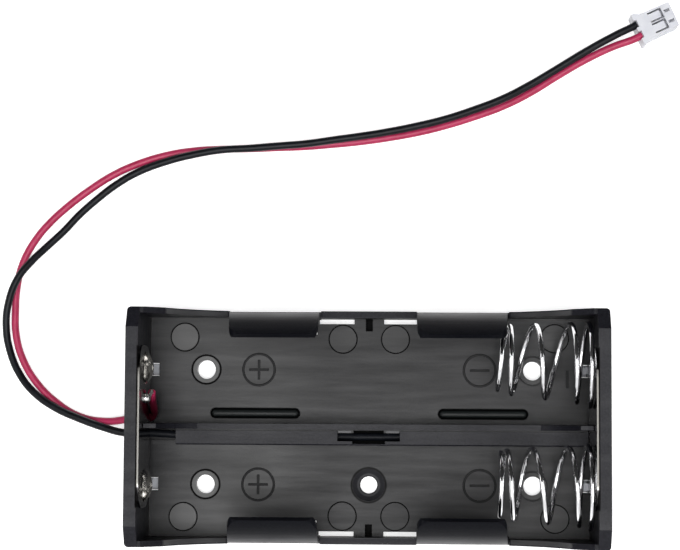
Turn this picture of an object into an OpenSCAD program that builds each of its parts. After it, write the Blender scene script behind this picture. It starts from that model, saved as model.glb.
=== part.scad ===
// Two-bay holder for cylindrical cells, wired in parallel, with two leads and a two-pin plug.
// X runs along the cells (plus end at -X, spring end at +X), Y across them, Z up from the underside.

/* [Cells] */
// Diameter of the cells that the bays take
cell_d = 18.2; // [18:0.1:18.4]
// Distance from the middle of the holder to the middle of each bay
cell_y = 9.8; // [9.6:0.1:10.2]
// Height of the cell axes above the underside
cell_z = 11.2; // [11:0.1:11.8]

/* [Housing] */
// Length over the end walls
body_l = 79.2; // [77:0.2:86]
// Width over the side walls
body_w = 39.4; // [39.2:0.1:41.5]
// Height of the end walls
body_h = 19.6; // [19.2:0.1:22]
// Thickness of the floor
floor_t = 2; // [1.8:0.1:2.4]
// Thickness of the end walls
end_t = 2.05; // [1.8:0.05:2.6]
// Thickness of the side walls
side_t = 1.15; // [0.9:0.05:1.4]
// Height of the side walls between the grip arms
side_h = 5.5; // [4.8:0.1:6.5]
// Height of the rail that runs under the grip arms
rail_h = 3; // [2.6:0.1:4]
// Radius of the outer upright corners
corner_r = 0.6; // [0.3:0.1:1]
// Width of the chamfer on each top corner of the end walls
chamfer_w = 3.4; // [2:0.1:4.5]
// Drop of that chamfer
chamfer_h = 2.1; // [1:0.1:3]

/* [Gussets] */
// Thickness of the gussets
gusset_t = 1; // [0.8:0.05:1.15]
// Length of each gusset from the outside of the end wall
gusset_l = 15.8; // [14.5:0.1:17]
// Radius of the hollow curve of the gussets
gusset_r = 20; // [18:0.5:26]
// Length of the gusset's crown from the outside of the end wall
crown_l = 5.9; // [5:0.1:7]
// Drop of the crown to the start of the hollow curve
crown_drop = 2.8; // [2:0.1:3.5]
// Length of the level top of the crown
crown_flat = 2.6; // [2.3:0.1:4]

/* [Grip arms] */
// Distance between the two arms of one side
arm_gap = 16.3; // [14:0.1:19]
// Wall thickness of the arms
arm_t = 0.85; // [0.7:0.05:1.1]
// Play between a cell and the curl
arm_play = 0.15; // [0.05:0.05:0.4]
// Set-back of the arms from the outside of the side walls
arm_setback = 0.55; // [0.3:0.05:0.8]
// Angle that the curl goes up past the cell's axis
arm_curl = 53; // [40:1:58]
// How much each arm narrows from its root to its tip
arm_draft = 1.1; // [0.4:0.1:2]
// Radius of the tip's corners
arm_corner_r = 2; // [1:0.1:2.6]

/* [Floor openings] */
// Length of each see-through slot beside the side wall
slot_l = 5.6; // [4:0.1:6.5]
// How far the slots at the plus end reach under the arms
slot_reach = 0.4; // [0:0.05:0.5]
// Width of those slots
slot_w = 0.85; // [0.5:0.05:0.85]
// Width of the mould window under each arm
window_w = 2.4; // [1.5:0.1:3]
// Distance of the mould window from the arm's inside edge
window_gap = 0.75; // [0.4:0.05:1.5]
// Width of the blind notch between the slots
notch_w = 1.2; // [0.8:0.1:2]
// Length of the blind notch
notch_l = 2.1; // [1.5:0.1:3]
// Floor left under the blind notch
notch_floor = 0.5; // [0.4:0.1:1]

/* [Screw holes] */
// Distance between the screw holes along the cells
hole_pitch = 55.9; // [54:0.1:58]
// Diameter of the screw holes
hole_d = 3.2; // [2.8:0.1:3.5]
// Diameter of the seat round each screw hole
seat_d = 4.6; // [4.4:0.1:5.4]
// Width of the groove round that seat
seat_groove_w = 0.3; // [0.2:0.05:0.4]
// Depth of that groove
seat_groove_h = 0.3; // [0.15:0.05:0.5]
// Diameter of the middle hole
mid_hole_d = 2.9; // [2.4:0.1:3.3]
// Diameter of the middle hole's countersink
mid_sink_d = 5.6; // [4.8:0.1:6.2]
// Depth of the middle hole's countersink
mid_sink_depth = 1.2; // [0.8:0.1:1.6]

/* [Moulded marks] */
// Diameter of the ejector pads
pad_d = 4.6; // [4:0.1:4.9]
// Height of the ejector pads
pad_h = 0.15; // [0.1:0.05:0.4]
// Width and depth of the groove round each ejector pad
pad_groove = 0.2; // [0.1:0.05:0.2]
// Distance of the outer pads from the middle, along the cells
pad_outer_x = 31.7; // [31:0.1:32.5]
// Distance of the inner pads from the middle, along the cells
pad_inner_x = 4.5; // [3.8:0.1:4.8]
// Gap from the inner pads to the side wall
pad_edge = 1.15; // [1.15:0.05:1.5]
// Gap from the outer pads to the side wall
pad_outer_edge = 0.9; // [0.8:0.05:1.5]
// Length of the two ridges beside the divider
ridge_l = 15.4; // [10:0.1:18]
// Width of the ridges
ridge_w = 1.75; // [1.2:0.05:2.2]
// Distance from the middle to the middle of each ridge, along the cells
ridge_x = 19.5; // [17:0.1:22]

/* [Divider and wire channel] */
// Thickness of the divider at the floor
divider_t = 1; // [0.85:0.05:1.1]
// Thickness of the divider at the top of its fins
divider_top_t = 0.7; // [0.5:0.05:0.8]
// Offset of the divider from the middle
divider_y = 0.1; // [0:0.05:0.2]
// Height of the divider
divider_h = 6; // [5.5:0.1:7]
// Height of the fins at the divider's ends
fin_h = 14.5; // [12:0.1:15.5]
// Length of each fin's level top
fin_l = 2.1; // [1.5:0.1:3]
// Length of each fin's slope
fin_slope = 6; // [4:0.1:8]
// Radius of the fins' hollow slope
fin_r = 14; // [11:0.5:20]
// Width of the wire channel over its outer wall
channel_w = 2.65; // [2.5:0.05:2.9]
// Height of the wire channel's cover
channel_h = 5; // [4.8:0.1:5.2]
// Wall thickness of the wire channel
channel_t = 0.7; // [0.5:0.05:0.8]
// Length of the open start of the channel at the plus end
channel_start = 4.45; // [3:0.05:6]
// Length of the inspection window in the cover
hatch_l = 10.6; // [6:0.1:14]
// Length of the wide middle of that window
hatch_mid_l = 5.6; // [3:0.1:5.8]

/* [Contacts] */
// Thickness of the contact strips
strip_t = 0.3; // [0.2:0.05:0.4]
// Width of the contact strips across both cells
strip_w = 27; // [26:0.2:28]
// Height of the strips' top edge above the underside
strip_top = 19.2; // [18.6:0.1:19.2]
// Height of the strips' bottom edge above the underside
strip_bottom = 4.7; // [4.5:0.1:5]
// Radius of the strips' corners
strip_r = 5; // [3:0.1:5.5]
// Width of the strips' legs
leg_w = 2; // [1.4:0.1:2.4]
// Length of the legs' bent feet
foot_l = 1.3; // [0.8:0.1:1.6]
// Diameter of the pressed plus cups
cup_d = 5.6; // [4.5:0.1:6.5]
// How far the cups stand out of the strip
cup_h = 1.35; // [1:0.05:1.7]

/* [Springs] */
// Diameter of the spring wire
wire_d = 0.85; // [0.7:0.05:0.95]
// Free length of the springs
spring_l = 15.8; // [13:0.1:17]
// Outer diameter at the base
spring_base_d = 14.7; // [13.5:0.1:14.8]
// Outer diameter at the tip
spring_tip_d = 11; // [9:0.1:12]
// Number of turns
spring_turns = 4.5; // [3.5:0.25:5.5]

/* [Leads] */
// Diameter of the insulated leads
lead_d = 1.3; // [1.1:0.05:1.3]
// Diameter of the bare strands
strand_d = 0.6; // [0.4:0.05:0.8]
// Height of the lead holes in the end wall
lead_z = 2.9; // [2.85:0.05:3.05]

/* [Plug] */
// Distance between the two contacts of the plug
plug_pitch = 2; // [2:0.05:2.2]
// Width of the plug's body behind its draft
plug_w = 4.6; // [4.6:0.05:5.2]
// How much narrower the plug's front is on each side
plug_draft = 0.1; // [0:0.05:0.15]
// Height of the plug's body
plug_h = 4.4; // [4.2:0.1:4.8]
// Length of the plug
plug_l = 6.8; // [6.5:0.1:8]
// Width of the plug's rear flange
flange_w = 5.6; // [5.4:0.1:6.2]
// Thickness of the plug's rear flange
flange_t = 0.5; // [0.4:0.1:0.8]

/* [Hidden] */

// Facets round a hole, and round a small part
$fn = 48;
// Overlap that makes joined solids one piece
weld = 0.05;
// Extra length of a cutter past the face that it cuts
past = 1;
// Clearance of a part in its slot
fit = 0.1;

// Faces of the housing
end_x = body_l / 2;
end_in_x = end_x - end_t;
side_y = body_w / 2;
side_in_y = side_y - side_t;
// Top of the housing's corners
corner_z = body_h - chamfer_h;
// Ends of the gussets and of their crowns
gusset_x = end_x - gusset_l;
crown_x = end_x - crown_l;
crown_z = corner_z - crown_drop;

// Grip arms: inner and outer radius of the curl, outer face, root edges, and centre of the curl
arm_in_r = cell_d / 2 + arm_play;
arm_r = arm_in_r + arm_t;
arm_out_y = side_y - arm_setback;
arm_x = arm_gap / 2;
arm_curl_y = arm_out_y - arm_r;
arm_tip_z = cell_z + arm_r * sin(arm_curl);

// Front face of the contact strips
strip_x = end_in_x - strip_t;
// Slots in the floor for the legs of the strips
leg_slot_l = foot_l + 2 * fit;
// Middles of the outer and inner ejector pads of one quarter
pads = [
    [pad_outer_x, side_in_y - pad_outer_edge - pad_d / 2],
    [pad_inner_x, side_in_y - pad_edge - pad_d / 2]
];

// Divider: ends of its fins, and its face towards the wire channel
divider_end = strip_x - fit;
fin_top_x = divider_end - fin_l;
fin_foot_x = fin_top_x - fin_slope;
divider_low_y = divider_y - divider_t / 2;
channel_y = divider_low_y - channel_w;
channel_floor_w = channel_w - channel_t;
channel_x = channel_start - strip_x;

// Room under the spring tabs for the rise of the base turn
base_rise = 1.15;

// How far the springs stand off the middle of their bays, at the base and at the tip
upper_base_y = 0.8;
upper_tip_y = 2;
lower_base_y = 0.2;
lower_tip_y = 0.7;
// How much the turns of each spring lean, as a slope
upper_lean = 0.12;
lower_lean = 0.04;

// Leads where they pass the end wall and the channel
red_y = 1.5;
black_y = -1.1;
lead_hole_d = lead_d + 2 * fit;
channel_lead_y = channel_y + channel_t + lead_d / 2 + fit;
red_joint = [-strip_x, 4.7, 10.6];
black_joint = [strip_x, channel_lead_y, lead_z];
solder_d = 1.7;

// Where the plug lies: middle of its rear face, its turn, and the height of its contacts
plug_x = 45.9;
plug_y = 68.4;
plug_turn = 24.6;
plug_z = plug_h - 1.7;
cavity_w = 1.5;
// Length of the leads behind the plug, and inside it up to the terminals
plug_wire_l = 1.5;
plug_wire_in = 1.3;

// A point of the plug in the holder's frame: distance along the plug, to its left, and height
function plug_point(along, left, up) = [
    plug_x + along * cos(plug_turn) - left * sin(plug_turn),
    plug_y + along * sin(plug_turn) + left * cos(plug_turn),
    up
];

// Routes of the leads, from the end wall over the table to the plug
red_route = concat(
    [[-end_x, red_y, lead_z], [-end_x - 0.6, red_y, lead_z]],
    [
        [-42.0, 1.1, 2.4], [-45.6, 0.8, 1.3], [-49.9, 1.6, 0.8], [-54.0, 4.0, 0.7],
        [-57.5, 7.4, 0.7], [-60.0, 11.5, 0.7], [-61.2, 15.6, 0.7], [-61.4, 19.8, 0.7],
        [-61.2, 23.9, 0.7], [-60.2, 28.2, 0.7], [-58.0, 32.3, 0.7], [-55.6, 35.2, 0.7],
        [-52.7, 37.9, 0.7], [-49.1, 40.7, 0.7], [-44.6, 43.6, 0.7], [-40.4, 45.5, 0.7],
        [-35.5, 47.0, 0.7], [-30.7, 47.8, 0.7], [-25.8, 48.1, 0.7], [-20.9, 48.2, 0.7],
        [-16.1, 48.4, 0.7], [-11.1, 48.6, 0.7], [-6.3, 49.0, 0.7], [-1.4, 49.5, 0.7],
        [3.4, 50.2, 0.7], [8.3, 51.1, 0.7], [13.1, 52.3, 0.7], [17.9, 53.8, 0.7],
        [22.8, 55.6, 0.7], [27.6, 58.0, 0.7], [32.3, 60.9, 0.9], [37.2, 63.7, 1.4],
        [42.0, 65.9, 2.2]
    ],
    [
        plug_point(-plug_wire_l, -plug_pitch / 2, plug_z),
        plug_point(plug_wire_in, -plug_pitch / 2, plug_z)
    ]
);
black_route = concat(
    [[-end_x, black_y, lead_z], [-end_x - 0.6, black_y, lead_z]],
    [
        [-42.0, -1.1, 2.8], [-45.6, -0.2, 2.5], [-49.9, 1.3, 2.2], [-54.0, 3.1, 1.9],
        [-57.9, 5.8, 1.4], [-60.4, 8.8, 0.9], [-62.2, 12.8, 0.7], [-62.9, 17.0, 1.0],
        [-62.4, 21.2, 1.9], [-60.8, 25.4, 2.2], [-58.6, 28.3, 1.8], [-55.9, 31.1, 1.0],
        [-53.2, 33.7, 0.7], [-50.6, 36.5, 0.7], [-47.6, 39.2, 0.7], [-44.1, 41.9, 0.8],
        [-40.4, 44.0, 1.1], [-35.5, 45.8, 1.5], [-30.7, 47.0, 1.8], [-25.8, 47.8, 2.1],
        [-20.9, 48.1, 2.1], [-16.1, 48.5, 2.1], [-11.1, 48.9, 2.1], [-6.3, 49.6, 2.0],
        [-1.4, 50.3, 1.9], [3.4, 51.1, 1.8], [8.3, 52.1, 1.8], [13.1, 53.3, 1.8],
        [17.9, 54.9, 1.7], [22.8, 56.8, 1.7], [27.6, 59.3, 1.5], [32.5, 62.2, 1.8],
        [37.3, 65.1, 2.1], [42.1, 67.7, 2.6]
    ],
    [
        plug_point(-plug_wire_l, plug_pitch / 2, plug_z),
        plug_point(plug_wire_in, plug_pitch / 2, plug_z)
    ]
);
// Routes inside the holder, up to the end of the insulation
red_inside_route = [
    [-end_x, red_y, lead_z], [0.2 - end_in_x, red_y, lead_z], [0.5 - strip_x, 2.2, 3.6],
    [0.75 - strip_x, 3, 5.4], [0.75 - strip_x, 4.1, 7.2], [0.8 - strip_x, 5.2, 8.6],
    [0.85 - strip_x, 5.7, 9.4]
];
black_inside_route = [
    [-end_x, black_y, lead_z], [-end_in_x, black_y, lead_z],
    [1.5 - strip_x, black_y - 0.1, lead_z], [5 - strip_x, channel_lead_y + 0.2, lead_z],
    [9 - strip_x, channel_lead_y, lead_z],
    [strip_x - 2.4, channel_lead_y, lead_z]
];

// ---- Vectors and sweeps ----

function unit(v) = v / norm(v);

// Direction of a route at its point i
function heading(route, i) = unit(
    i == 0 ? route[1] - route[0]
    : i == len(route) - 1 ? route[i] - route[i - 1]
    : unit(route[i] - route[i - 1]) + unit(route[i + 1] - route[i])
);

// Ring of points round a route's point
function ring(route, i, r, sides) = let (
    ahead = heading(route, i),
    aside = unit(cross(abs(ahead.z) > 0.9 ? [0, 1, 0] : [0, 0, 1], ahead)),
    upward = cross(ahead, aside)
) [
    for (k = [0 : sides - 1])
        let (a = 360 * (k + 0.5) / sides)
            route[i] + r * cos(a) * aside + r * sin(a) * upward
];

// Closed tube that follows a route
module tube(route, d, sides = 8) {
    n = len(route);
    points = [for (i = [0 : n - 1]) each ring(route, i, d / 2, sides)];
    walls = [
        for (i = [0 : n - 2])
            for (k = [0 : sides - 1])
                let (next = (k + 1) % sides)
                    each [
                        [i * sides + k, (i + 1) * sides + next, i * sides + next],
                        [i * sides + k, (i + 1) * sides + k, (i + 1) * sides + next]
                    ]
    ];
    first = [for (k = [0 : sides - 1]) k];
    last = [for (k = [sides - 1 : -1 : 0]) (n - 1) * sides + k];
    polyhedron(points, concat([first], walls, [last]), convexity = 10);
}

// Centre of the circle of radius r through a and b that hollows out the side above them
function hollow_centre(a, b, r) = let (
    chord = b - a,
    half = norm(chord) / 2,
    upper_left = [-chord.y, chord.x] / norm(chord)
) (a + b) / 2 + upper_left * sqrt(r * r - half * half);

// ---- Frames for profiles ----

// Outline in X and Z, made a slab from y0 to y1
module along_y(y0, y1) {
    translate([0, y1, 0])
        rotate([90, 0, 0])
            linear_extrude(y1 - y0)
                children();
}

// Outline in Y and Z, made a bar from x0 to x1
module along_x(x0, x1) {
    translate([x0, 0, 0])
        rotate([90, 0, 90])
            linear_extrude(x1 - x0)
                children();
}

module mirror_y() {
    children();
    mirror([0, 1, 0])
        children();
}

module mirror_x() {
    children();
    mirror([1, 0, 0])
        children();
}

// ---- Housing ----

module rounded_plan(l, w, r) {
    square([l - 2 * r, w], center = true);
    square([l, w - 2 * r], center = true);
    for (x = [-1, 1], y = [-1, 1])
        translate([x * (l / 2 - r), y * (w / 2 - r)])
            circle(r);
}

module end_wall() {
    along_x(end_in_x, end_x)
        polygon([
            [-side_y, 0], [side_y, 0], [side_y, corner_z], [side_y - chamfer_w, body_h],
            [chamfer_w - side_y, body_h], [-side_y, corner_z]
        ]);
}

// Half of a side wall's outline: low wall, then the rail under a grip arm
module side_outline() {
    polygon([
        [0, 0], [gusset_x, 0], [gusset_x, rail_h], [arm_x, rail_h], [arm_x, side_h], [0, side_h]
    ]);
}

// Outline of a gusset, from the grip arm up to the end wall
module gusset_outline() {
    foot = [gusset_x, side_h];
    brow = [crown_x, crown_z];
    difference() {
        polygon([
            [gusset_x, 0], [end_x, 0], [end_x, corner_z], [end_x - crown_flat, corner_z], brow,
            foot
        ]);
        intersection() {
            translate(hollow_centre(foot, brow, gusset_r))
                circle(gusset_r, $fn = 96);
            translate(foot - [0, side_h - rail_h])
                square([crown_x - gusset_x, body_h]);
        }
    }
}

// Curl of a grip arm across the holder
module arm_section() {
    reach = 2 * arm_r;
    intersection() {
        translate([arm_curl_y, cell_z])
            difference() {
                circle(arm_r, $fn = 96);
                circle(arm_in_r, $fn = 96);
            }
        translate([arm_curl_y, cell_z])
            polygon([[0, 0], [reach, 0], reach * [1, tan(arm_curl)]]);
    }
    translate([arm_out_y - arm_t, 0])
        square([arm_t, cell_z]);
}

// Outline of one grip arm along the holder: straight inside edge, tapered outside edge, round corners
module arm_outline() {
    r = arm_corner_r;
    taper = arm_draft / (arm_tip_z - rail_h);
    lean = atan(taper);
    edge = gusset_x - taper * (arm_tip_z - r - rail_h);
    bow = r * (1 - cos(lean)) / cos(lean);
    outer_r_x = edge - r - bow;
    polygon([
        [arm_x, 0], [gusset_x, 0], [gusset_x, rail_h], [edge, arm_tip_z - r],
        [arm_x, arm_tip_z - r]
    ]);
    translate([arm_x + r, arm_tip_z - r])
        circle(r);
    translate([outer_r_x, arm_tip_z - r])
        circle(r);
    translate([arm_x + r, arm_tip_z - 2 * r])
        square([outer_r_x - arm_x - r, 2 * r]);
}

module grip_arm() {
    intersection() {
        along_x(arm_x, gusset_x)
            arm_section();
        along_y(arm_curl_y, side_y)
            arm_outline();
    }
}

module walls() {
    intersection() {
        union() {
            mirror_x() {
                end_wall();
                mirror_y() {
                    along_y(side_in_y, side_y)
                        side_outline();
                    along_y(side_y - gusset_t, side_y)
                        gusset_outline();
                }
            }
            translate([-end_x, -side_y, 0])
                cube([body_l, body_w, floor_t]);
        }
        linear_extrude(body_h)
            rounded_plan(body_l, body_w, corner_r);
    }
}

// Half of the divider's outline along the holder
module divider_outline() {
    foot = [fin_foot_x, divider_h];
    brow = [fin_top_x, fin_h];
    difference() {
        polygon([
            [0, floor_t - weld], [divider_end, floor_t - weld], [divider_end, fin_h], brow,
            foot, [0, divider_h]
        ]);
        intersection() {
            translate(hollow_centre(foot, brow, fin_r))
                circle(fin_r, $fn = 96);
            translate(foot - [0, 1])
                square([fin_slope, fin_h]);
        }
    }
}

module divider() {
    top = divider_top_t / 2;
    root = divider_t / 2;
    intersection() {
        mirror_x()
            along_y(divider_y - root, divider_y + root)
                divider_outline();
        translate([0, divider_y, 0])
            along_x(-end_x, end_x)
                polygon([
                    [-root, 0], [root, 0], [root, floor_t], [top, fin_h], [-top, fin_h],
                    [-root, floor_t]
                ]);
    }
}

// Channel over the black lead, closed by a cover with an inspection window
module wire_channel() {
    cover_z = channel_h - channel_t;
    hatch_w = channel_floor_w - 0.1;
    ledge_w = 0.55;
    ledge_t = 0.6;
    ledge_drop = 0.2;
    difference() {
        union() {
            along_x(channel_x, divider_end)
                difference() {
                    polygon([
                        [divider_y, 0], [divider_y, cover_z + 0.3],
                        [divider_low_y - 0.25, cover_z + 0.3], [divider_low_y - 0.25, channel_h],
                        [channel_y + 0.2, channel_h], [channel_y, channel_h - 0.2], [channel_y, 0]
                    ]);
                    translate([channel_y + channel_t, floor_t])
                        square([channel_floor_w + divider_t, cover_z - floor_t]);
                }
            // Low wall beside the open start of the channel
            translate([-strip_x + fit, channel_y, 0])
                cube([channel_start, channel_t, floor_t + 1.2]);
        }
        translate([-hatch_l / 2, divider_low_y - 0.1 - hatch_w, cover_z - weld])
            cube([hatch_l, hatch_w, past]);
        translate([-hatch_mid_l / 2, channel_y + 0.25, floor_t])
            cube([hatch_mid_l, channel_floor_w, channel_h]);
    }
    // Ledges of the window, one each side of its wide middle
    mirror_x()
        translate([hatch_mid_l / 2 - 0.2, divider_low_y - ledge_w, cover_z - ledge_drop - ledge_t])
            cube([(hatch_l - hatch_mid_l) / 2 + 0.3, ledge_w + 0.2, ledge_t]);
}

module ridge() {
    half = (ridge_l - ridge_w) / 2;
    translate([ridge_x, divider_y + divider_t / 2 + ridge_w, floor_t]) {
        rotate([0, 90, 0])
            cylinder(h = 2 * half, d = ridge_w, center = true);
        for (side = [-1, 1])
            translate([side * half, 0, 0])
                sphere(d = ridge_w);
    }
}

module ejector_pads() {
    for (pad = pads)
        translate([pad.x, pad.y, floor_t - weld])
            cylinder(h = pad_h + weld, d = pad_d);
}

// Cutter for a groove in the top of the floor, of inner diameter d
module ring_groove(d, w, h) {
    translate([0, 0, floor_t - h])
        linear_extrude(h + past)
            difference() {
                circle(d / 2 + w);
                circle(d / 2);
            }
}

// Everything that is cut from the floor, for one quarter of the holder
module floor_cuts() {
    window_in_y = arm_out_y - arm_t - window_w;
    window_x = arm_x + window_gap;
    // See-through slot beside the side wall
    translate([arm_x - slot_l, side_in_y - slot_w, -past])
        cube([slot_l, slot_w, floor_t + 2 * past]);
    // Mould window under the grip arm
    translate([window_x, window_in_y, -past])
        cube([gusset_x - arm_draft - window_x, window_w, floor_t + 2 * past]);
    // Screw hole, its seat inside a ring groove
    translate([hole_pitch / 2, cell_y, 0]) {
        translate([0, 0, -past])
            cylinder(h = floor_t + 2 * past, d = hole_d);
        ring_groove(seat_d, seat_groove_w, seat_groove_h);
    }
    // Grooves round the ejector pads
    for (pad = pads)
        translate([pad.x, pad.y, 0])
            ring_groove(pad_d, pad_groove, pad_groove);
    // Slot for the leg of the contact strip
    translate([end_in_x - leg_slot_l, cell_y - leg_w / 2 - fit, -past])
        cube([leg_slot_l, leg_w + 2 * fit, floor_t + 2 * past]);
    // Blind notch beside the middle of the side wall
    translate([-notch_w / 2, side_in_y - notch_l, notch_floor])
        cube([notch_w, notch_l, floor_t]);
}

module middle_hole() {
    translate([0, -cell_y, -past])
        cylinder(h = floor_t + 2 * past, d = mid_hole_d);
    translate([0, -cell_y, floor_t - mid_sink_depth])
        cylinder(h = mid_sink_depth + weld, d1 = mid_hole_d, d2 = mid_sink_d);
}

module housing() {
    color("#2c2d30") {
        difference() {
            union() {
                walls();
                mirror_x()
                    mirror_y()
                        grip_arm();
                divider();
                wire_channel();
                mirror_x()
                    ridge();
            }
            mirror_x()
                mirror_y()
                    floor_cuts();
            // The slots at the plus end reach under the arms
            mirror_y()
                translate([-arm_x - slot_reach, side_in_y - slot_w, -past])
                    cube([slot_reach + weld, slot_w, floor_t + 2 * past]);
            middle_hole();
            for (y = [red_y, black_y])
                translate([-end_x - past, y, lead_z])
                    rotate([0, 90, 0])
                        cylinder(h = end_t + 2 * past, d = lead_hole_d, $fn = 24);
        }
        mirror_x()
            mirror_y()
                ejector_pads();
    }
}

// ---- Contacts ----

// Outline of a strip across the holder, with holes for the plus cups
module strip_outline(hole_r) {
    strip_h = strip_top - strip_bottom;
    difference() {
        union() {
            translate([0, strip_bottom + strip_h / 2])
                rounded_plan(strip_w, strip_h, strip_r);
            for (side = [-1, 1])
                translate([side * cell_y - leg_w / 2, fit])
                    square([leg_w, strip_bottom]);
        }
        if (hole_r > 0)
            for (side = [-1, 1])
                translate([side * cell_y, cell_z])
                    circle(hole_r);
    }
}

// Strip at the spring end, its back on the end wall, its feet bent inwards in the floor
module strip(hole_r = 0) {
    along_x(strip_x, end_in_x)
        strip_outline(hole_r);
    for (side = [-1, 1])
        translate([end_in_x - foot_l, side * cell_y - leg_w / 2, fit])
            cube([foot_l, leg_w, strip_t]);
}

// Pressed cup: a round dome of sheet, open at the back, that grows out of the edge of its hole
module plus_cup() {
    r = cup_d / 2;
    dome_r = (r * r + cup_h * cup_h) / (2 * cup_h);
    rotate([0, 90, 0])
        rotate_extrude($fn = 64)
            intersection() {
                translate([0, cup_h - dome_r])
                    difference() {
                        circle(dome_r, $fn = 96);
                        circle(dome_r - strip_t, $fn = 96);
                    }
                translate([0, -strip_t])
                    square([cup_d, cup_h + 2 * strip_t]);
            }
}

module positive_strip() {
    color("#c9c5bb") {
        mirror([1, 0, 0])
            strip(cup_d / 2 - fit);
        for (side = [-1, 1])
            translate([-strip_x, side * cell_y, cell_z])
                plus_cup();
    }
}

// Tab bent out of a leg, which holds the base turn of a spring: a post with a lip over the wire
module spring_tab() {
    post = 0.3;
    lip = 0.8;
    stand = wire_d + base_rise;
    base_r = spring_base_d / 2;
    translate([-stand - post, base_r + fit, -0.6])
        cube([stand + post + weld, post, 1.2]);
    translate([-stand - post, base_r + fit - lip, -0.6])
        cube([post, lip + weld, 1.2]);
}

module negative_strip() {
    color("#c9c5bb") {
        strip();
        // Tongue behind the wire channel, where the black lead is soldered
        along_x(strip_x, end_in_x)
            translate([black_joint.y - 0.8, floor_t + fit])
                square([1.6, strip_bottom]);
        // One tab on each leg, under the base turn of its spring
        translate([strip_x, cell_y + upper_base_y, cell_z])
            rotate([264, 0, 0])
                spring_tab();
        translate([strip_x, lower_base_y - cell_y, cell_z])
            rotate([268, 0, 0])
                spring_tab();
    }
}

// Point of a spring after t turns, its middle moving from base_y to tip_y, its turns leaning over
function spring_point(t, base_y, tip_y, lean) = let (
    u = t / spring_turns,
    run = spring_l - wire_d,
    rise = u - 0.85 * sin(360 * u) / (2 * PI) + 0.05 * pow(sin(180 * u), 2),
    r = (spring_base_d * (1 - u) + spring_tip_d * u - wire_d) / 2,
    a = 180 - 360 * t,
    slope = lean * (1 - pow(1 - u, 4))
) [
    -wire_d / 2 - run * rise + slope * r * cos(a),
    base_y * (1 - u) + tip_y * u + r * cos(a),
    r * sin(a)
];

module spring(base_y, tip_y, lean) {
    steps = 18;
    route = [for (i = [0 : steps * spring_turns]) spring_point(i / steps, base_y, tip_y, lean)];
    translate([strip_x - 0.02, 0, cell_z])
        tube(route, wire_d);
}

module upper_spring() {
    color("#d9dade")
        translate([0, cell_y, 0])
            spring(upper_base_y, upper_tip_y, upper_lean);
}

module lower_spring() {
    color("#d9dade")
        translate([0, -cell_y, 0])
            spring(lower_base_y, lower_tip_y, lower_lean);
}

// ---- Leads ----

module red_lead() {
    color("#c2304c")
        tube(red_route, lead_d);
}

module black_lead() {
    color("#25282b")
        tube(black_route, lead_d);
}

module red_lead_inside() {
    color("#c2304c")
        tube(red_inside_route, lead_d);
}

module black_lead_inside() {
    color("#25282b")
        tube(black_inside_route, lead_d);
}

// Solder bead on the plus strip with the tinned strands that come from the red lead
module red_solder_joint() {
    last = len(red_inside_route) - 1;
    end = red_inside_route[last];
    ahead = heading(red_inside_route, last);
    color("#d4d4d0") {
        intersection() {
            translate(red_joint)
                sphere(d = solder_d);
            translate(red_joint + [0, -solder_d, -solder_d])
                cube(2 * solder_d);
        }
        tube([end, end + 0.4 * ahead, red_joint + [0.5, 0, 0]], strand_d);
    }
}

module black_solder_joint() {
    color("#d4d4d0") {
        intersection() {
            translate(black_joint)
                sphere(d = 1.4);
            translate(black_joint + [-2, -1, -1])
                cube([2, 2, 2]);
        }
        translate([strip_x - 2.4, black_joint.y, black_joint.z])
            rotate([0, 90, 0])
                cylinder(h = 2.2, d = strand_d, $fn = 24);
    }
}

// ---- Plug ----

module place_plug() {
    translate([plug_x, plug_y, 0])
        rotate([0, 0, plug_turn])
            children();
}

// Slits round one locking tongue of the plug, the gap at its end and the hole in front of it
module tongue_cuts() {
    slit_w = 0.3;
    tongue_w = 1.25;
    tongue_x = 2.6;
    gap_x = 4.65;
    gap_l = 0.45;
    hole_x = 5.4;
    hole_l = 1;
    hole_w = 0.5;
    bottom = plug_z - cavity_w / 2 + weld;
    translate([0, 0, bottom])
        linear_extrude(plug_h)
            union() {
                for (edge = [-1, 1])
                    translate([tongue_x, edge * (tongue_w + slit_w) / 2 - slit_w / 2])
                        square([gap_x + gap_l - tongue_x, slit_w]);
                translate([gap_x, -tongue_w / 2 - slit_w])
                    square([gap_l, tongue_w + 2 * slit_w]);
                translate([hole_x, -hole_w / 2])
                    square([hole_l, hole_w]);
            }
}

module plug_housing() {
    neck = 1.3;
    rib_w = 0.15;
    front_y = plug_w / 2 - plug_draft;
    color("#e9ebee")
        place_plug()
            difference() {
                // Body with its flange, seen from above
                linear_extrude(plug_h)
                    polygon([
                        [0, -flange_w / 2], [flange_t, -flange_w / 2], [neck, -plug_w / 2],
                        [plug_l, -front_y], [plug_l, front_y], [neck, plug_w / 2],
                        [flange_t, flange_w / 2], [0, flange_w / 2]
                    ]);
                // Cavities for the terminals, wire entries open at the top, and locking tongues
                for (side = [-1, 1])
                    translate([0, side * plug_pitch / 2, 0]) {
                        translate([plug_wire_in, -cavity_w / 2, plug_z - cavity_w / 2])
                            cube([plug_l, cavity_w, cavity_w]);
                        translate([-past, 0, plug_z])
                            rotate([0, 90, 0])
                                cylinder(h = past + plug_wire_in + fit, d = lead_d + fit, $fn = 24);
                        translate([-past, -lead_d / 2, plug_z])
                            cube([past + flange_t, lead_d, plug_h]);
                        tongue_cuts();
                    }
                // Relief along both sides, which leaves a rib at the top and bottom
                for (side = [-1, 1])
                    translate([neck + 1.1, side * plug_w / 2 - rib_w, 1])
                        cube([plug_l, 2 * rib_w, plug_h - 2]);
            }
}

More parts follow.
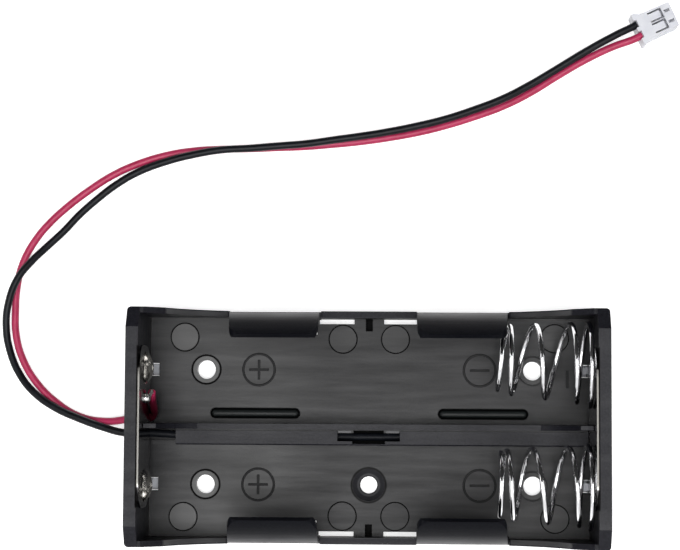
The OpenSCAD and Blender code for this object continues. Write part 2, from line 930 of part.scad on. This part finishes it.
// Crimped terminal: a box for the mating pin and a barrel round the strands
module plug_terminal(side) {
    box_w = cavity_w - 2 * fit;
    wall = 0.2;
    place_plug()
        translate([0, side * plug_pitch / 2, plug_z]) {
            difference() {
                translate([3.3, -box_w / 2, -box_w / 2])
                    cube([1.3, box_w, box_w]);
                translate([3, -box_w / 2 + wall, -box_w / 2 + wall])
                    cube([2, box_w - 2 * wall, box_w - 2 * wall]);
            }
            translate([1.35, 0, 0])
                rotate([0, 90, 0])
                    cylinder(h = 1.6, d = 1.1, $fn = 24);
            translate([2.8, -box_w / 2, -box_w / 2])
                cube([0.6, box_w, wall]);
            translate([2.7, -0.35, -box_w / 2])
                cube([0.25, 0.7, box_w / 2 + 0.1]);
        }
}

module red_plug_terminal() {
    color("#b9bcc0")
        plug_terminal(-1);
}

module black_plug_terminal() {
    color("#b9bcc0")
        plug_terminal(1);
}

housing();
positive_strip();
negative_strip();
upper_spring();
lower_spring();
red_lead();
black_lead();
red_lead_inside();
black_lead_inside();
red_solder_joint();
black_solder_joint();
plug_housing();
red_plug_terminal();
black_plug_terminal();
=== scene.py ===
import math
from types import SimpleNamespace

import bmesh
import bpy
from mathutils import Matrix, Vector


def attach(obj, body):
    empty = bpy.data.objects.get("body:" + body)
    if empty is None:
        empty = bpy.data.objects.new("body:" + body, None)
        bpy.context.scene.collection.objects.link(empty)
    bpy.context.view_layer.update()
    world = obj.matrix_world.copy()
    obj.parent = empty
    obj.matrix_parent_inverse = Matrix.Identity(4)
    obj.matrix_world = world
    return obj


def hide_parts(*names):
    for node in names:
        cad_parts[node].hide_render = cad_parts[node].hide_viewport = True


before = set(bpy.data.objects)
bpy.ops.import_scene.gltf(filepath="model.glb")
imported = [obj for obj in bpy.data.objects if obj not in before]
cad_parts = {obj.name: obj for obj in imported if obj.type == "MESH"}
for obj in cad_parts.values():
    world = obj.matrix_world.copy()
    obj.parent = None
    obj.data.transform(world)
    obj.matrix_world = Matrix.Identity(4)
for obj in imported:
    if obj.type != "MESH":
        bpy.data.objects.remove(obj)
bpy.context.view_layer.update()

MM = 0.001

# Sizes of the holder in millimetres, as the part has them
CELL_Y = 9.8
CELL_Z = 11.2
FLOOR = 2.0
END_FACE = 37.55
STRIP_FACE = 37.25
LEAD = 1.3
WIRE = 0.85

# Marks on the tray's floor: places along X and Y, then radii and half lengths
OUTER_PAD = (31.7, 15.35)
INNER_PAD = (4.5, 15.1)
SCREW_SEAT = (27.95, CELL_Y)
MIDDLE_SCREW = (0, -CELL_Y)
MARK_RADIUS = 2.35
SINK_RADIUS = 2.8
RIDGE = (19.5, 2.35)
RIDGE_HALF = 6.8
RIDGE_RADIUS = 0.95
SIGN_X = 18.9
SIGN_RADIUS = 2.7
SIGN_BAR = (3.4, 0.45)
SIGN_LINE = 0.4
SIGN_HEIGHT = 0.12
SIGN_FOOT = 0.04
SIGN_ROUNDING = 0.06
DASH = (33.85, 8.4)
DASH_SIZE = (3.0, 0.5)

# Coil springs at their free length
SPRING_TURNS = 4.5
SPRING_LENGTH = 15.8
SPRING_BASE = 14.7
SPRING_TIP = 11
STEPS_PER_TURN = 24
END_CLOSING = 0.85
MIDDLE_BULGE = 0.05
STRIP_GAP = 0.02

# The plug, how its two leads enter it, and the ends of the leads at the holder's wall
PLUG = (45.9, 68.4)
PLUG_TURN = math.radians(24.6)
PLUG_MID = 2.7
PITCH = 2.0
RED_EXIT = (-39.6, 1.5, 2.9)
BLACK_EXIT = (-39.6, -1.1, 2.9)

# Camera, table and light
LENS = 106.4
CAMERA_PLACE = (5.88, 0.11, 346.75)
CAMERA_TURN = (4.328, 1.798, 0.329)
TABLE_DROP = 0.02
TABLE_GLOW = 0.62
AMBIENT = 0.1
SCREEN_FROM, SCREEN_TO = -0.12, -0.42
SCREEN_DARK, SCREEN_BRIGHT = -0.07, 0.95


def mm(points):
    """Points in millimetres as vectors in metres."""
    return [Vector(p) * MM for p in points]


# ---------------------------------------------------------------- camera

def look_down():
    """Camera high above the open side of the holder, long lens."""
    data = bpy.data.cameras.new("camera")
    data.lens = LENS
    data.sensor_width = 36
    data.clip_start = 0.01
    data.clip_end = 20
    camera = bpy.data.objects.new("camera", data)
    camera.location = [c * MM for c in CAMERA_PLACE]
    camera.rotation_euler = [math.radians(a) for a in CAMERA_TURN]
    bpy.context.collection.objects.link(camera)
    bpy.context.scene.camera = camera


look_down()


# ---------------------------------------------------------------- node helpers

def grey(level, blue=0.0):
    """A grey, with a little more or less blue."""
    return (level, level, level + blue, 1)


class Nodes:
    """A node tree, built up one node at a time."""

    def __init__(self, tree):
        self.tree = tree

    def node(self, kind, links=None, **settings):
        made = self.tree.nodes.new("ShaderNode" + kind)
        for key, value in settings.items():
            setattr(made, key, value)
        for socket, value in (links or {}).items():
            self.feed(made.inputs[socket], value)
        return made

    def feed(self, socket, value):
        """Links a socket to another, or sets it to a value."""
        if isinstance(value, bpy.types.NodeSocket):
            self.tree.links.new(value, socket)
        else:
            socket.default_value = value

    def math(self, operation, a, b=0.0):
        return self.node("Math", {0: a, 1: b}, operation=operation).outputs[0]

    def times(self, *values):
        """Product of two or more factors."""
        result = values[0]
        for value in values[1:]:
            result = self.math("MULTIPLY", result, value)
        return result

    def total(self, *values):
        """Sum of several factors, held between 0 and 1."""
        result = values[0]
        for value in values[1:]:
            result = self.math("ADD", result, value)
        return self.math("MINIMUM", self.math("MAXIMUM", result, 0.0), 1.0)

    def spread(self, fac, low, high, start=0.3, stop=0.7):
        """A factor stretched to run from low to high."""
        return self.node("MapRange", {
            "Value": fac, "From Min": start, "From Max": stop, "To Min": low, "To Max": high,
        }).outputs["Result"]


class Shader(Nodes):
    """A node material with a Principled surface."""

    def __init__(self, name, **surface):
        self.material = bpy.data.materials.new(name)
        self.material.use_nodes = True
        super().__init__(self.material.node_tree)
        self.surface = self.tree.nodes["Principled BSDF"]
        for socket, value in surface.items():
            self.set(socket.replace("_", " "), value)

    def set(self, socket, value):
        self.feed(self.surface.inputs[socket], value)

    def place(self, scale=(1, 1, 1)):
        """Object coordinates in millimetres, times a scale."""
        coords = self.node("TexCoord").outputs["Object"]
        size = [s / MM for s in scale]
        return self.node("Mapping", {"Vector": coords, "Scale": size}).outputs["Vector"]

    def axes(self):
        """Places along X, Y and Z in millimetres."""
        return self.node("SeparateXYZ", {"Vector": self.place()}).outputs

    def distance(self, x, y, centre):
        """Distance in plan from a centre, in millimetres."""
        flat = self.node("CombineXYZ", {"X": x, "Y": y}).outputs["Vector"]
        made = self.node("VectorMath", {0: flat, 1: (*centre, 0)}, operation="DISTANCE")
        return made.outputs["Value"]

    def noise(self, scale, stretch=(1, 1, 1), detail=3.0, rough=0.55):
        return self.node("TexNoise", {
            "Vector": self.place(stretch), "Scale": scale, "Detail": detail, "Roughness": rough,
        }).outputs["Fac"]

    def between(self, value, low, high, soft=0.05):
        """1 where a value lies between two limits, 0 outside them."""
        rise = self.spread(value, 0, 1, low - soft, low + soft)
        fall = self.spread(value, 1, 0, high - soft, high + soft)
        return self.times(rise, fall)

    def zone(self, *limits, soft=0.05):
        """1 inside a box given by values with their limits, 0 outside it."""
        return self.times(*(self.between(*limit, soft) for limit in limits))

    def disc(self, distance, radius, soft=0.15):
        """1 within a radius, 0 beyond it."""
        return self.spread(distance, 1, 0, radius - soft, radius)

    def blend(self, fac, a, b):
        """Colour a where the factor is 0, b where it is 1; a colour mix has them at 6 and 7."""
        return self.node("Mix", {0: fac, 6: a, 7: b}, data_type="RGBA").outputs[2]

    def mottle(self, fac, dark, light):
        """A colour that drifts between two tones with a noise."""
        return self.blend(self.spread(fac, 0, 1), dark, light)

    def bump(self, height, distance, strength=1.0, under=None):
        links = {"Height": height, "Distance": distance * MM, "Strength": strength}
        if under is not None:
            links["Normal"] = under
        return self.node("Bump", links).outputs["Normal"]


# ---------------------------------------------------------------- black plastic

def tray_places(s):
    """Where a point lies, and three masks: the left half, the tray, and the floor's own face."""
    x, y, z = s.axes()
    return SimpleNamespace(
        x=x, y=y, z=z,
        far_x=s.math("ABSOLUTE", x), far_y=s.math("ABSOLUTE", y),
        left=s.spread(x, 1, 0.3, -1, 1),
        tray=s.spread(z, 1, 0, 4.5, 4.9),
        low=s.spread(z, 1, 0, 2.2, 2.4),
    )


def floor_marks(s, at):
    """Flat marks on the tray's floor: ejector pads, screw seats, the middle countersink, ridges."""
    outer = s.distance(at.far_x, at.far_y, OUTER_PAD)
    inner = s.distance(at.far_x, at.far_y, INNER_PAD)
    seat = s.distance(at.far_x, at.far_y, SCREW_SEAT)
    sink = s.distance(at.x, at.y, MIDDLE_SCREW)
    along = s.distance(at.far_x, 0.0, (RIDGE[0], 0))
    past_end = s.math("MAXIMUM", s.math("SUBTRACT", along, RIDGE_HALF), 0.0)
    ridge = s.distance(past_end, at.y, (0, RIDGE[1]))

    outer_pad = s.times(s.disc(outer, MARK_RADIUS), at.left)
    inner_pad = s.times(s.disc(inner, MARK_RADIUS), s.spread(at.y, 0.05, 0.3, -1, 1))
    return SimpleNamespace(
        to_pad=s.math("MINIMUM", outer, inner), to_seat=seat, to_sink=sink, to_ridge=ridge,
        pad=s.times(s.math("ADD", outer_pad, inner_pad), at.low),
        seat=s.times(s.disc(seat, MARK_RADIUS), s.spread(at.z, 0, 1, 1.6, 1.9), at.left, at.low),
        cone=s.times(s.disc(sink, SINK_RADIUS, 0.1), at.low),
        lip=s.times(s.between(sink, 1.6, 1.95, 0.1), at.low),
        ridge=s.times(s.disc(ridge, RIDGE_RADIUS, 0.1), at.tray),
        ledge=s.zone((at.far_x, 3.0, 5.2), (at.y, -0.95, -0.6), (at.z, 1, 5.5), soft=0.04),
    )


def dark_places(s, at, marks):
    """Painted shade in grooves, notches, ridge feet, arm holes, strip gaps and the wire channel,
    which hold no light.
    """
    under_arms = s.zone((at.z, 0.2, 1.93), (at.far_y, 12.4, 18.75), (at.far_x, -1, 37), soft=0.04)
    hatch = s.zone((at.y, -2.9, -0.3), (at.far_x, -1, 5.6), (at.z, 0.2, 3.4))
    strip_slot = s.zone((at.far_x, 37.5, 37.72), (at.far_y, -1, 13.2), (at.z, 17, 30), soft=0.04)
    pad_groove = s.times(s.between(marks.to_pad, 2.32, 2.52, 0.06), at.low)
    seat_groove = s.times(s.between(marks.to_seat, 2.3, 2.62, 0.06), at.low)
    sink_groove = s.times(s.between(marks.to_sink, 2.74, 3.1, 0.08), at.low)
    ridge_foot = s.times(s.between(marks.to_ridge, 0.5, RIDGE_RADIUS, 0.08), at.tray)
    recess_shade = s.total(
        under_arms, hatch, strip_slot,
        s.times(pad_groove, s.spread(at.left, 0.2, 0.7, 0.3, 1)),
        s.times(seat_groove, s.spread(at.left, 0.35, 1, 0.3, 1)),
        s.times(sink_groove, 0.8),
        s.times(ridge_foot, 0.85),
    )
    return s.times(recess_shade, s.spread(marks.ledge, 1, 0, 0, 1))


def wall_faces(s, at):
    """The grip arms, and the top faces of the side walls from the middle out to the ends."""
    arm = s.zone((at.far_x, 8.1, 23.7), (at.z, 9, 30))
    top = s.between(at.far_y, 18.68, 19.52, 0.04)
    return SimpleNamespace(
        arm=s.times(arm, s.spread(at.far_y, 1, 0, 17.4, 19.1)),
        side_top=s.times(top, s.zone((at.far_x, -1, 8.2), (at.z, 5, 6))),
        slope=s.times(top, s.zone((at.far_x, 23.9, 33.5), (at.z, 5.6, 16))),
        crown=s.times(top, s.zone((at.far_x, 33.7, 37.5), (at.z, 14, 30))),
    )


def moulded_black():
    """Black plastic: drawn-out flow marks on the tray, a fine spark-eroded grain on the walls."""
    s = Shader("housing_plastic", IOR=1.5)
    at = tray_places(s)
    marks = floor_marks(s, at)
    recess_shade = dark_places(s, at, marks)
    walls = wall_faces(s, at)
    flow = s.noise(0.55, (0.09, 1, 1), 5.0, 0.65)
    clouds = s.noise(0.09)
    grain = s.noise(2.6, detail=2.0, rough=0.7)
    # Painted sheen: a lighter, glossier band across the left of the tray's floor, stronger towards
    # -Y
    left_floor_sheen = s.times(s.between(at.x, -29, -12, 5), at.tray)
    # Painted shade on the floor beside the left end wall
    corner_shade = s.times(
        s.spread(at.x, 1, 0, -36.5, -31.5), s.spread(at.far_y, 1, 0, 4, 9), at.tray, 0.6
    )

    # The arms are painted darker than the tray, darkest toward their tips: painted shade on their
    # curved faces
    grained = s.mottle(grain, grey(0.004, 0.0025), grey(0.013, 0.0045))
    tone = s.mottle(clouds, grey(0.004, 0.001), grey(0.015, 0.0005))
    for amount, colour in (
        (s.times(s.spread(flow, 0.14, 0.46), at.tray), grey(0.036, 0.002)),
        (s.times(left_floor_sheen, s.spread(at.y, 0.5, 0.25, -3, 3)), grey(0.046)),
        (corner_shade, grey(0.004, 0.002)),
        (marks.ridge, (0.008, 0.010, 0.010, 1)),
        (s.math("SUBTRACT", 1.0, at.tray), grained),
        # Painted sheen: the ejector pads and screw seats are painted lighter, most on the left
        (s.times(marks.pad, 0.7), grey(0.085)),
        (s.times(marks.seat, 0.9), grey(0.08)),
        (marks.cone, grey(0.02, 0.003)),
        # Painted highlight on the countersink's lip and the channel's ledges
        (s.total(s.times(marks.lip, 0.7), marks.ledge), grey(0.08, 0.005)),
        # Painted highlight on the side walls' slopes
        (walls.slope, grey(0.03, 0.002)),
        # Painted shade on the arms
        (s.times(walls.arm, 0.8), (0.003, 0.0035, 0.005, 1)),
        # Painted shade: the recesses are painted near black
        (recess_shade, grey(0.002)),
    ):
        tone = s.blend(amount, tone, colour)
    s.set("Base Color", tone)

    # Each place keeps its own share of the gloss
    gloss = s.times(s.spread(flow, 0.77, 0.92), s.spread(at.tray, 0.88, 1, 0, 1))
    for part, share in (
        (recess_shade, 0.08), (walls.arm, 0.3), (walls.side_top, 0.65), (walls.slope, 2.0),
        (walls.crown, 0.55), (left_floor_sheen, 1.28), (marks.ridge, 0.7), (corner_shade, 0.45),
    ):
        gloss = s.times(gloss, s.spread(part, 1, share, 0, 1))
    s.set("Specular IOR Level", s.times(gloss, 0.24))
    s.set("Roughness", s.math("ADD", s.spread(flow, 0.47, 0.36), s.spread(clouds, -0.05, 0.05)))
    s.set("Normal", s.bump(flow, 0.03, 0.5, s.bump(grain, 0.03, 0.5)))
    return s.material


def moulded_sign():
    """The same plastic where the polarity signs stand up from the floor, painted dark at their
    sides as shade.
    """
    s = Shader("sign_plastic", IOR=1.5, Specular_IOR_Level=0.1)
    height = s.axes()[2]
    face = s.spread(height, 0, 1, FLOOR + 0.08, FLOOR + 0.13)
    s.set("Base Color", s.blend(face, grey(0.002), grey(0.014, 0.001)))
    s.set("Roughness", s.spread(s.noise(2.6, detail=2.0), 0.38, 0.5))
    return s.material


# ---------------------------------------------------------------- metal, leads and plug

def nickel_strip():
    """Nickel-plated steel: cups lifted near white as a painted highlight, flat faces and feet
    painted dark as shade, dull cut edges.
    """
    s = Shader("nickel_strip", Metallic=1.0)
    brushed = s.noise(6.0, (1, 0.15, 1))
    x, _, z = s.axes()
    edge = s.spread(z, 0, 1, 19.0, 19.15)
    # Painted shade: the feet, low down by the floor, are painted darker
    foot = s.spread(z, 1, 0, 4.4, 4.6)
    cut = s.total(edge, foot)
    # Painted shade: the strips' flat faces are painted dark
    flat = s.spread(s.math("ABSOLUTE", x), 0, 1, STRIP_FACE - 0.11, STRIP_FACE - 0.01)
    flat = s.times(flat, s.spread(cut, 1, 0, 0, 1))
    # The tone lifts the nickel near white, a painted highlight on the cups
    tone = s.mottle(brushed, (0.82, 0.79, 0.71, 1), (0.95, 0.92, 0.86, 1))
    tone = s.blend(flat, tone, (0.12, 0.115, 0.12, 1))
    tone = s.blend(foot, tone, (0.24, 0.245, 0.26, 1))
    s.set("Base Color", s.blend(edge, tone, (0.17, 0.165, 0.155, 1)))
    rough = s.math("ADD", s.spread(brushed, 0.26, 0.2), s.times(cut, 0.24))
    s.set("Roughness", s.math("SUBTRACT", rough, s.times(flat, 0.12)))
    s.set("Normal", s.bump(brushed, 0.004, 0.3))
    return s.material


def spring_steel():
    """Bright drawn wire with faint marks along it."""
    s = Shader("spring_wire", Metallic=1.0)
    drawn = s.noise(1.2)
    s.set("Base Color", s.mottle(drawn, grey(0.74, 0.01), grey(0.84, 0.02)))
    s.set("Roughness", s.spread(drawn, 0.13, 0.17))
    s.set("Normal", s.bump(s.noise(4.0, detail=2.0), 0.004, 0.3))
    return s.material


def insulation(name, dark, light, rough, gloss, shade=None):
    """Soft lead insulation, with painted shade below a height if one is given."""
    s = Shader(name, IOR=1.5, Specular_IOR_Level=gloss)
    tone = s.mottle(s.noise(0.5), dark, light)
    if shade:
        tone = s.blend(s.spread(s.axes()[2], 1, 0, *shade), tone, [c * 0.2 for c in dark[:3]] + [1])
    s.set("Base Color", tone)
    s.set("Roughness", s.spread(s.noise(1.5), rough, rough + 0.08))
    s.set("Normal", s.bump(s.noise(2.5, detail=2.0), 0.015, 0.4))
    return s.material


def solder_tin():
    """Tin solder, lumpy and half bright."""
    s = Shader("solder", Metallic=1.0)
    skin = s.noise(2.2, detail=4.0)
    s.set("Base Color", s.mottle(skin, grey(0.66, -0.02), grey(0.8, -0.02)))
    s.set("Roughness", s.spread(skin, 0.22, 0.38))
    s.set("Normal", s.bump(skin, 0.04, 0.5))
    return s.material


def plug_nylon():
    """Natural white nylon, slightly milky."""
    s = Shader(
        "plug_plastic", IOR=1.5,
        Subsurface_Weight=0.15, Subsurface_Radius=(0.0012, 0.0012, 0.0014),
    )
    s.set("Base Color", s.mottle(s.noise(0.6), (0.60, 0.61, 0.66, 1), (0.68, 0.69, 0.73, 1)))
    s.set("Roughness", s.spread(s.noise(2.0), 0.35, 0.45))
    s.set("Normal", s.bump(s.noise(5.0), 0.012, 0.4))
    return s.material


def terminal_tin():
    """Tin-plated terminal, rolled lengthways."""
    s = Shader("terminal_tin", Metallic=1.0)
    rolled = s.noise(4.0, (0.3, 1, 1))
    s.set("Base Color", s.mottle(rolled, grey(0.55, -0.01), grey(0.68, -0.01)))
    s.set("Roughness", s.spread(rolled, 0.25, 0.4))
    return s.material


RED_TONES = (0.36, 0.017, 0.068, 1), (0.45, 0.028, 0.098, 1)
BLACK_TONES = (0.003, 0.0035, 0.005, 1), (0.007, 0.008, 0.011, 1)

HOUSING = moulded_black()
SIGN = moulded_sign()
STRIP = nickel_strip()
SPRING = spring_steel()
RED = insulation("red_insulation", *RED_TONES, rough=0.36, gloss=0.35)
# The red lead's end inside the holder carries painted shade low down
RED_INSIDE = insulation(
    "red_inside_insulation", *RED_TONES, rough=0.36, gloss=0.35, shade=(8.1, 9.5)
)
BLACK = insulation("black_insulation", *BLACK_TONES, rough=0.34, gloss=0.15)
BLACK_INSIDE = insulation("black_inside_insulation", *BLACK_TONES, rough=0.42, gloss=0.1)
SOLDER = solder_tin()
NYLON = plug_nylon()
TERMINAL = terminal_tin()


# ---------------------------------------------------------------- leads

def wire(name, route, diameter, material, smooth=4):
    """Round wire along a route of points in millimetres, as a smooth curve."""
    curve = bpy.data.curves.new(name, "CURVE")
    curve.dimensions = "3D"
    curve.resolution_u = smooth
    curve.bevel_depth = diameter / 2 * MM
    curve.bevel_resolution = 4
    curve.use_fill_caps = True
    spline = curve.splines.new("BEZIER")
    spline.bezier_points.add(len(route) - 1)
    for knot, place in zip(spline.bezier_points, mm(route)):
        knot.co = place
        knot.handle_left_type = knot.handle_right_type = "AUTO"
    curve.materials.append(material)
    piece = bpy.data.objects.new(name, curve)
    bpy.context.collection.objects.link(piece)
    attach(piece, "root")
    return piece


def plug_end(side):
    """The last two points of a lead, straight into its hole in the plug."""
    c, s = math.cos(PLUG_TURN), math.sin(PLUG_TURN)
    left = side * PITCH / 2
    return [
        (PLUG[0] + along * c - left * s, PLUG[1] + along * s + left * c, PLUG_MID)
        for along in (-1.5, 1.3)
    ]


# The route of each lead from the end wall to the plug
RED_ROUTE = [
    RED_EXIT, (-40.2, 1.5, 2.9),
    (-42.0, 1.1, 2.4), (-45.6, 0.8, 1.3), (-49.9, 1.6, 0.8), (-54.0, 4.0, 0.7),
    (-57.5, 7.4, 0.7), (-60.0, 11.5, 0.7), (-61.2, 15.6, 0.7), (-61.4, 19.8, 0.7),
    (-61.2, 23.9, 0.7), (-60.2, 28.2, 0.7), (-58.0, 32.3, 0.7), (-55.6, 35.2, 0.7),
    (-52.7, 37.9, 0.7), (-49.1, 40.7, 0.7), (-44.6, 43.6, 0.7), (-40.4, 45.5, 0.7),
    (-35.5, 47.0, 0.7), (-30.7, 47.8, 0.7), (-25.8, 48.1, 0.7), (-20.9, 48.2, 0.7),
    (-16.1, 48.4, 0.7), (-11.1, 48.6, 0.7), (-6.3, 49.0, 0.7), (-1.4, 49.5, 0.7),
    (3.4, 50.2, 0.7), (8.3, 51.1, 0.7), (13.1, 52.3, 0.7), (17.9, 53.8, 0.7),
    (22.8, 55.6, 0.7), (27.6, 58.0, 0.7), (32.3, 60.9, 0.9), (37.2, 63.7, 1.4),
    (42.0, 65.9, 2.2), *plug_end(-1),
]
BLACK_ROUTE = [
    BLACK_EXIT, (-40.2, -1.1, 2.9),
    (-42.0, -1.1, 2.8), (-45.6, -0.2, 2.5), (-49.9, 1.3, 2.2), (-54.0, 3.1, 1.9),
    (-57.9, 5.8, 1.4), (-60.4, 8.8, 0.9), (-62.2, 12.8, 0.7), (-62.9, 17.0, 1.0),
    (-62.4, 21.2, 1.9), (-60.8, 25.4, 2.2), (-58.6, 28.3, 1.8), (-55.9, 31.1, 1.0),
    (-53.2, 33.7, 0.7), (-50.6, 36.5, 0.7), (-47.6, 39.2, 0.7), (-44.1, 41.9, 0.8),
    (-40.4, 44.0, 1.1), (-35.5, 45.8, 1.5), (-30.7, 47.0, 1.8), (-25.8, 47.8, 2.1),
    (-20.9, 48.1, 2.1), (-16.1, 48.5, 2.1), (-11.1, 48.9, 2.1), (-6.3, 49.6, 2.0),
    (-1.4, 50.3, 1.9), (3.4, 51.1, 1.8), (8.3, 52.1, 1.8), (13.1, 53.3, 1.8),
    (17.9, 54.9, 1.7), (22.8, 56.8, 1.7), (27.6, 59.3, 1.5), (32.5, 62.2, 1.8),
    (37.3, 65.1, 2.1), (42.1, 67.7, 2.6), *plug_end(1),
]

# Inside the holder the red lead climbs to the strip, the black one runs through the channel
RED_INSIDE_ROUTE = [
    RED_EXIT, (0.2 - END_FACE, 1.5, 2.9), (-36.75, 2.2, 3.6), (-36.5, 3, 5.4),
    (-36.5, 4.1, 7.2), (-36.45, 5.2, 8.6), (-36.4, 5.7, 9.4),
]
BLACK_INSIDE_ROUTE = [
    BLACK_EXIT, (-END_FACE, -1.1, 2.9), (-35.75, -1.2, 2.9), (-32.25, -1.4, 2.9),
    (-28.25, -1.6, 2.9), (-10, -1.6, 2.9), (10, -1.6, 2.9), (34.85, -1.6, 2.9),
]


def free_leads():
    red = wire("red_flex", RED_ROUTE, LEAD, RED)
    black = wire("black_flex", BLACK_ROUTE, LEAD, BLACK)
    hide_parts("red_lead")
    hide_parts("black_lead")


def inside_leads():
    red = wire("red_tail", RED_INSIDE_ROUTE, LEAD, RED_INSIDE, 8)
    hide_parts("red_lead_inside")
    black = wire("black_tail", BLACK_INSIDE_ROUTE, LEAD, BLACK_INSIDE, 8)
    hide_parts("black_lead_inside")


free_leads()
inside_leads()


# ---------------------------------------------------------------- springs and CAD nodes

def spring(name, node, side, base_y, tip_y, lean):
    """Tapered coil with a closed base turn, wound right-handed, its turns leaning to one side.

    base_y and tip_y are how far its two ends stand off the middle of the bay.
    """
    count = round(STEPS_PER_TURN * SPRING_TURNS)
    route = []
    for i in range(count + 1):
        u = i / count
        closing = END_CLOSING * math.sin(2 * math.pi * u) / (2 * math.pi)
        rise = u - closing + MIDDLE_BULGE * math.sin(math.pi * u) ** 2
        radius = (SPRING_BASE * (1 - u) + SPRING_TIP * u - WIRE) / 2
        angle = math.pi * (1 - 2 * SPRING_TURNS * u)
        across = radius * math.cos(angle)
        slope = lean * (1 - (1 - u) ** 4)
        route.append((
            STRIP_FACE - STRIP_GAP - WIRE / 2 - (SPRING_LENGTH - WIRE) * rise + slope * across,
            side * CELL_Y + base_y * (1 - u) + tip_y * u + across,
            CELL_Z + radius * math.sin(angle),
        ))
    piece = wire(name, route, WIRE, SPRING, 2)
    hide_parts(node)


def dress(node, material):
    """Gives a CAD node its finish."""
    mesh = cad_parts[node].data
    mesh.materials.clear()
    mesh.materials.append(material)


spring("spring_coil_upper", "upper_spring", 1, 0.8, 2, 0.12)
spring("spring_coil_lower", "lower_spring", -1, 0.2, 0.7, 0.04)

for node, material in (
    ("housing", HOUSING), ("positive_strip", STRIP), ("negative_strip", STRIP),
    ("red_solder_joint", SOLDER), ("black_solder_joint", SOLDER), ("plug_housing", NYLON),
    ("red_plug_terminal", TERMINAL), ("black_plug_terminal", TERMINAL),
):
    dress(node, material)


# ---------------------------------------------------------------- signs

def finish_mesh(name, bm, material):
    """Closes a mesh and makes it a piece of the holder."""
    bmesh.ops.remove_doubles(bm, verts=bm.verts, dist=1e-7)
    bmesh.ops.recalc_face_normals(bm, faces=bm.faces)
    mesh = bpy.data.meshes.new(name)
    bm.to_mesh(mesh)
    bm.free()
    mesh.materials.append(material)
    piece = bpy.data.objects.new(name, mesh)
    bpy.context.collection.objects.link(piece)
    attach(piece, "root")


def bar(bm, x, y, length, width, height, turn=0.0):
    """A raised bar with softened edges, its foot just below the floor's face."""
    place = (
        Matrix.Translation((x * MM, y * MM, (FLOOR + height / 2 - SIGN_FOOT / 2) * MM))
        @ Matrix.Rotation(turn, 4, "Z")
        @ Matrix.Diagonal((length * MM, width * MM, (height + SIGN_FOOT) * MM, 1))
    )
    made = bmesh.ops.create_cube(bm, size=1, matrix=place)
    edges = {edge for vert in made["verts"] for edge in vert.link_edges}
    bmesh.ops.bevel(
        bm, geom=list(edges), offset=SIGN_ROUNDING * MM, affect="EDGES",
        segments=2, profile=0.5, material=-1,
    )


def ring(bm, x, y, radius, width, height):
    """A raised ring on the floor, spun from a small rounded section."""
    section = [
        (radius - width / 2, -SIGN_FOOT), (radius - width / 2, height * 0.7),
        (radius - width / 4, height), (radius + width / 4, height),
        (radius + width / 2, height * 0.7), (radius + width / 2, -SIGN_FOOT),
    ]
    verts = [bm.verts.new(((x + r) * MM, y * MM, (FLOOR + z) * MM)) for r, z in section]
    face = bm.faces.new(verts)
    bmesh.ops.spin(
        bm, geom=[face], cent=(x * MM, y * MM, 0), axis=(0, 0, 1),
        angle=2 * math.pi, steps=48, use_merge=True, use_duplicate=False,
    )


def polarity_sign(name, x, side, plus):
    """A minus in a ring, or a plus, whose second bar is a hair higher where the two cross."""
    bm = bmesh.new()
    y = side * CELL_Y
    long, thin = SIGN_BAR
    bar(bm, x, y, long, thin, SIGN_HEIGHT)
    if plus:
        bar(bm, x, y, thin, long, SIGN_HEIGHT + 0.001)
    ring(bm, x, y, SIGN_RADIUS, SIGN_LINE, SIGN_HEIGHT)
    finish_mesh(name, bm, SIGN)


for side, place in ((1, "upper"), (-1, "lower")):
    polarity_sign(f"plus_sign_{place}", -SIGN_X, side, True)
    polarity_sign(f"minus_sign_{place}", SIGN_X, side, False)

dash = bmesh.new()
bar(dash, *DASH, *DASH_SIZE, SIGN_HEIGHT, math.pi / 2)
finish_mesh("mould_dash", dash, SIGN)


# ---------------------------------------------------------------- table and light

def white_floor():
    """White table: the camera sees it as lit from within, with soft shadows."""
    bm = bmesh.new()
    bmesh.ops.create_grid(bm, x_segments=1, y_segments=1, size=3)
    mesh = bpy.data.meshes.new("floor")
    bm.to_mesh(mesh)
    bm.free()
    mesh.transform(Matrix.Translation((0, 0, -TABLE_DROP * MM)))
    floor = bpy.data.objects.new("floor", mesh)
    bpy.context.collection.objects.link(floor)
    s = Shader("white_table", Base_Color=grey(0.8), Roughness=0.9, Specular_IOR_Level=0.0)
    rays = s.node("LightPath").outputs
    seen = s.total(rays["Is Camera Ray"], rays["Is Glossy Ray"], rays["Is Transmission Ray"])
    s.set("Emission Color", grey(1))
    s.set("Emission Strength", s.times(seen, TABLE_GLOW))
    mesh.materials.append(s.material)


def lamp(name, place, target, size, power):
    data = bpy.data.lights.new(name, "AREA")
    data.shape = "RECTANGLE"
    data.size, data.size_y = size
    data.energy = power
    light = bpy.data.objects.new(name, data)
    light.location = place
    aim = Vector(target) - Vector(place)
    light.rotation_euler = aim.to_track_quat("-Z", "Y").to_euler()
    bpy.context.collection.objects.link(light)


def studio():
    """White behind everything; metal and gloss see a broad white screen on the near side only."""
    world = bpy.data.worlds.new("studio")
    world.use_nodes = True
    bpy.context.scene.world = world
    s = Nodes(world.node_tree)
    background = s.tree.nodes["Background"]
    rays = s.node("LightPath").outputs
    around = s.node("SeparateXYZ", {"Vector": s.node("TexCoord").outputs["Generated"]}).outputs
    screen = s.spread(around["Y"], SCREEN_DARK, SCREEN_BRIGHT, SCREEN_FROM, SCREEN_TO)
    level = s.math("ADD", AMBIENT, s.times(screen, rays["Is Glossy Ray"]))
    s.feed(background.inputs["Color"], grey(1))
    s.feed(background.inputs["Strength"], s.math("MAXIMUM", level, rays["Is Camera Ray"]))

    lamp("overhead", (0, -0.22, 0.85), (0, -0.1, 0), (0.6, 0.7), 9)
    for name, side in (("left_side", -1), ("right_side", 1)):
        lamp(name, (0.8 * side, 0, 0.42), (0, 0, 0), (0.5, 0.22), 1.2)


white_floor()
studio()

bpy.context.scene.view_settings.view_transform = "Standard"
